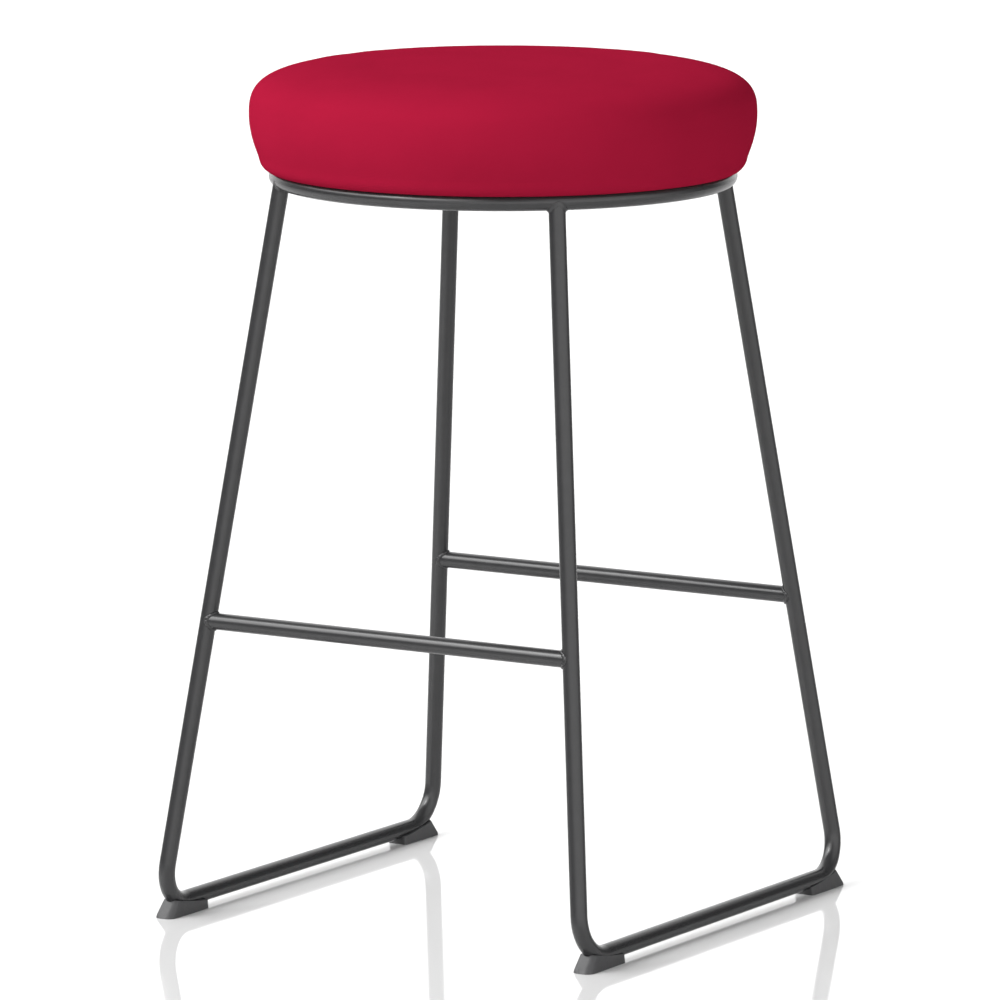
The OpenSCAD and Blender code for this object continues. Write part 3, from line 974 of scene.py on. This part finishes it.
def glide_spot(along, part, side, z):
    """(x, y) of the rear right glide's wall at a height, on the outer side (1) or the inner (-1).

    along is "start", "middle" or "end": the rounded inner end, the straight part and the rounded
    outer end; part runs from 0 to 1 over it.
    """
    up = z / GLIDE_HIGH
    centre = RAIL_X - GLIDE_SHIFT - (GLIDE_TOP_SHIFT - GLIDE_SHIFT) * up
    half = (GLIDE_W + (GLIDE_TOP_W - GLIDE_W) * up) / 2
    slant = max(z - GLIDE_LIP, 0) / (GLIDE_HIGH - GLIDE_LIP)
    last = GLIDE_END + (GLIDE_END_TOP - GLIDE_END) * slant
    corner = GLIDE_END_CORNER + (GLIDE_END_TOP_CORNER - GLIDE_END_CORNER) * up
    if along == "start":
        turn = math.pi / 2 * part
        half -= GLIDE_START_CORNER * (1 - math.sin(turn))
        y = GLIDE_START + GLIDE_START_CORNER * (1 - math.cos(turn))
    elif along == "middle":
        first = GLIDE_START + GLIDE_START_CORNER
        y = first + (last - corner - first) * part
    else:
        turn = math.pi / 2 * (1 - part)
        half -= corner * (1 - math.sin(turn))
        y = last - corner * (1 - math.cos(turn))
    return centre + side * half, y


def wall_top(y):
    """The height of a glide's wall, which climbs faster as the bar bends up."""
    part = min(max((y - GLIDE_START) / (GLIDE_END_TOP - GLIDE_START), 0), 1)
    return GLIDE_GRIP_Z + (GLIDE_HIGH - GLIDE_GRIP_Z) * part**GLIDE_CLIMB


def glide_section(along, part):
    """One section of the rear right glide as a loop of points: floor, wall, saddle and wall."""

    def side_top(side):
        """The height of the wall's flat top."""
        z = GLIDE_GRIP_Z
        for _ in range(12):
            x, y = glide_spot(along, part, side, z)
            z = min(wall_top(y), under_bar(x, y))
        return z

    def wall(side, top):
        """The wall's points from above the floor to its top edge."""
        points = []
        for k in range(1, SIDE_STEPS + 1):
            z = top * k / SIDE_STEPS
            x, y = glide_spot(along, part, side, z)
            points.append(Vector((x, y, z)))
        return points

    def saddle_edge(edge, top):
        """Where the wall's flat top meets the bar, inwards from its outer edge."""
        return bisect(RAIL_X, edge.x, lambda x: under_bar(x, edge.y) < top, 20)

    top_right, top_left = side_top(1), side_top(-1)
    right, left = wall(1, top_right), wall(-1, top_left)
    floor_left, floor_y = glide_spot(along, part, -1, 0)
    floor_right = glide_spot(along, part, 1, 0)[0]
    points = []
    for k in range(FLOOR_STEPS + 1):
        x = floor_left + (floor_right - floor_left) * k / FLOOR_STEPS
        points.append(Vector((x, floor_y, 0)))
    points += right
    edge_right, edge_left = saddle_edge(right[-1], top_right), saddle_edge(left[-1], top_left)
    for k in range(SADDLE_STEPS + 1):
        x = edge_right + (edge_left - edge_right) * k / SADDLE_STEPS
        top = top_right + (top_left - top_right) * k / SADDLE_STEPS
        z = top
        for _ in range(3):
            z = min(top, under_bar(x, glide_spot(along, part, 1, z)[1]))
        points.append(Vector((x, glide_spot(along, part, 1, z)[1], z)))
    points += reversed(left)
    return points


def glide(name, corner, material):
    """One glide: a saddle round the end of a rail, with a stepped hole for its screw."""
    stations = [("start", k / START_SECTIONS) for k in range(START_SECTIONS)]
    stations += [("middle", k / MIDDLE_SECTIONS) for k in range(MIDDLE_SECTIONS + 1)]
    stations += [("end", (k + 1) / END_SECTIONS) for k in range(END_SECTIONS)]
    loops = [glide_section(along, part) for along, part in stations]
    count = len(loops[0])
    verts = [p for section in loops for p in section]
    faces = loop_faces(len(loops), count) + end_faces(len(loops), count)
    piece = new_piece(f"{name}_moulding", verts, faces, material, [name])
    face_outwards(piece)
    cut_screw_hole(piece)
    soft = piece.modifiers.new("Soft edges", "BEVEL")
    soft.width = 0.3 * MM
    soft.segments = 2
    soft.limit_method = "ANGLE"
    soft.angle_limit = math.radians(38)
    soft.use_clamp_overlap = True
    apply_modifiers(piece)
    # Moved to its own corner before its normals are evened out.
    points = vertex_array(piece.data, "co")
    points[:, 0] *= corner[0]
    points[:, 1] *= corner[1]
    set_coords(piece.data, points)
    if corner[0] * corner[1] < 0:
        piece.data.flip_normals()
    even = piece.modifiers.new("Even shading", "WEIGHTED_NORMAL")
    even.keep_sharp = True
    apply_modifiers(piece)
    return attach(piece, "root")


def cut_screw_hole(piece):
    """Cuts the screw's hole in the rear right glide."""
    cutter = screw_cutter()
    cut = piece.modifiers.new("Hole", "BOOLEAN")
    cut.object = cutter
    cut.operation = "DIFFERENCE"
    cut.solver = "EXACT"
    apply_modifiers(piece)
    bpy.data.objects.remove(cutter)


def screw_cutter():
    """The stepped shape of that hole: a wide bore for the head, a slope and a narrow bore."""
    head_r, shank_r = 3.9 * MM, 2.15 * MM
    above, slope_top, slope_foot, below = 14 * MM, 3.3 * MM, 1 * MM, -1 * MM
    profile = [(0, above), (shank_r, above), (shank_r, slope_top)]
    profile += [(head_r, slope_foot), (head_r, below), (0, below)]
    verts, faces = revolve(profile, 40)
    mesh = bpy.data.meshes.new("screw_cutter")
    mesh.from_pydata([(x + RAIL_X, y + GLIDE_SCREW_Y, z) for x, y, z in verts], [], faces)
    cutter = bpy.data.objects.new("screw_cutter", mesh)
    cutter.hide_render = True
    bpy.context.scene.collection.objects.link(cutter)
    face_outwards(cutter)
    return cutter


# ---- The stool ----------------------------------------------------------------------------------


def finish_node(name, material):
    """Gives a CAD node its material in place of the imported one."""
    mesh = nodes[name].data
    mesh.materials.clear()
    mesh.materials.append(material)


def build_stool():
    """Finishes the CAD nodes, and makes the pieces that stand for the rest of them."""
    coat, plate, plastic = powder_coat(), zinc(), moulded_plastic()
    wood, cloth, cell, thin = plywood(), seat_fabric(), foam(), lining()
    finishes = [
        (coat, ["seat_ring", "sled_loop_left", "sled_loop_right"]),
        (coat, ["footrest_bar_front", "footrest_bar_rear"]),
        (coat, ["mount_tab_right", "mount_tab_rear", "mount_tab_left", "mount_tab_front"]),
        (coat, ["leg_welds", "footrest_welds", "tab_welds"]),
        (plate, ["glide_screws", "seat_screws", "seat_washers", "t_nuts", "dust_cover_staples"]),
        (wood, ["seat_board"]),
        (cell, ["seat_foam"]),
        (cloth, ["seat_cover"]),
        (thin, ["dust_cover"]),
    ]
    for material, names in finishes:
        for name in names:
            finish_node(name, material)
    for side, x in (("right", 1), ("left", -1)):
        for end, y in (("rear", 1), ("front", -1)):
            name = f"glide_{end}_{side}"
            finish_node(name, plastic)
            glide(name, (x, y), plastic)
    seat_foam(cell)
    seat_cover(cloth)
    staples(plate)
    dust_cover(thin)
    leg_welds(coat)
    footrest_welds(coat)
    tab_welds(coat)


# ---- Studio -------------------------------------------------------------------------------------

# The camera: its direction from the stool in degrees, its distance, its lens in millimetres on a
# 36 mm sensor, and the point it looks at, up from the floor and to the right of the middle.
CAMERA_AZIMUTH = 31.65
CAMERA_ELEVATION = 9.159
CAMERA_DISTANCE = 6.218
CAMERA_LENS = 295.65
CAMERA_SENSOR = 36
AIM_UP = 0.3097
AIM_RIGHT = -0.002365
# The lamps stand this far off and face a point this high.
LAMP_DISTANCE = 3.5
LAMP_AIM_UP = 0.35
# The lamps: name, azimuth from the camera's side and elevation in degrees, width and watts.
LAMPS = [
    ("key", -60, 40, 0.8, 27),
    ("key_core", -79, 45, 0.6, 8),
]
# The big soft panels round the studio: name, azimuth from the camera's side, half width, lowest
# and highest elevation, all in degrees, and brightness.
PANELS = [
    ("front fill", 28, 90, -90, 20, 1.95),
    ("right fill", 45, 45, 20, 50, 1.25),
    ("backdrop", 180, 55, -90, 50, 1.4),
    ("back left", 225, 45, 20, 50, 1.0),
    ("left window", 292, 67, 20, 50, 5.65),
    ("ceiling", 180, 90, 50, 90, 0.45),
]
STUDIO_GREY = 0.08
PANEL_SOFT = 6


def floor():
    """A glossy white floor."""
    half = 30.0
    mesh = bpy.data.meshes.new("studio_floor")
    corners = [(-half, -half, 0), (half, -half, 0), (half, half, 0), (-half, half, 0)]
    mesh.from_pydata(corners, [], [(0, 1, 2, 3)])
    piece = bpy.data.objects.new("studio_floor", mesh)
    bpy.context.scene.collection.objects.link(piece)
    n = MaterialNodes("white_acrylic")
    n.set(Base_Color=(0.80, 0.80, 0.80, 1), Roughness=0.06, IOR=1.45)
    mesh.materials.append(n.material)


def from_camera(azimuth, elevation):
    """A direction, its azimuth turned from the camera's side: 90 is the right, 180 the back."""
    turn, rise = math.radians(CAMERA_AZIMUTH + azimuth), math.radians(elevation)
    level = math.cos(rise)
    return Vector((math.sin(turn) * level, -math.cos(turn) * level, math.sin(rise)))


def soft_box(name, azimuth, elevation, size, power):
    """A round area light that faces the stool."""
    direction = from_camera(azimuth, elevation)
    data = bpy.data.lights.new(name, "AREA")
    data.shape = "DISK"
    data.size = size
    data.energy = power
    light = bpy.data.objects.new(name, data)
    light.location = Vector((0, 0, LAMP_AIM_UP)) + direction * LAMP_DISTANCE
    light.rotation_mode = "QUATERNION"
    light.rotation_quaternion = direction.to_track_quat("Z", "Y")
    bpy.context.scene.collection.objects.link(light)


def dome(world):
    """The light from all round: dim grey walls with soft bright panels on them."""
    n = Nodes(world.node_tree, "Generated")
    height = n.parts(n.place)["Z"]
    # How level the direction is, kept off 0 straight up.
    level = n.math("SQRT", n.math("SUBTRACT", 1.0001, n.math("POWER", height, 2.0)))

    def above(elevation):
        """1 over an elevation and 0 under it, with a soft edge."""
        low = math.sin(math.radians(elevation - PANEL_SOFT))
        return n.rise(height, low, math.sin(math.radians(min(elevation + PANEL_SOFT, 90))))

    light = STUDIO_GREY
    for _, azimuth, half_width, low, high, brightness in PANELS:
        node = n.add("ShaderNodeVectorMath")
        node.operation = "DOT_PRODUCT"
        n.put(node.inputs[0], n.place)
        node.inputs[1].default_value = from_camera(azimuth, 0)
        cosine = n.math("DIVIDE", node.outputs["Value"], level)
        panel = n.rise(cosine, math.cos(math.radians(half_width)), 1.0)
        if low > -90:
            panel = n.math("MULTIPLY", panel, above(low))
        if high < 90:
            panel = n.math("MULTIPLY", panel, n.math("SUBTRACT", 1.0, above(high)))
        light = n.math("ADD", light, n.math("MULTIPLY", panel, brightness))
    background = n.tree.nodes["Background"]
    n.put(background.inputs["Color"], (1, 1, 1, 1))
    n.put(background.inputs["Strength"], light)


def studio():
    """The floor, the panels and the lamps."""
    floor()
    world = bpy.data.worlds.new("studio")
    world.use_nodes = True
    dome(world)
    bpy.context.scene.world = world
    for lamp in LAMPS:
        soft_box(*lamp)
    bpy.context.scene.view_settings.view_transform = "Standard"


def camera():
    """The camera, at the photograph's viewing angle."""
    back = from_camera(0, CAMERA_ELEVATION)
    right = from_camera(90, 0)
    up = back.cross(right)
    data = bpy.data.cameras.new("camera")
    data.sensor_width = CAMERA_SENSOR
    data.lens = CAMERA_LENS
    data.clip_end = 200
    cam = bpy.data.objects.new("camera", data)
    turn = Matrix((right, up, back)).transposed().to_4x4()
    aim = right * AIM_RIGHT + Vector((0, 0, AIM_UP))
    cam.matrix_world = Matrix.Translation(aim + back * CAMERA_DISTANCE) @ turn
    bpy.context.scene.collection.objects.link(cam)
    bpy.context.scene.camera = cam


camera()
build_stool()
studio()
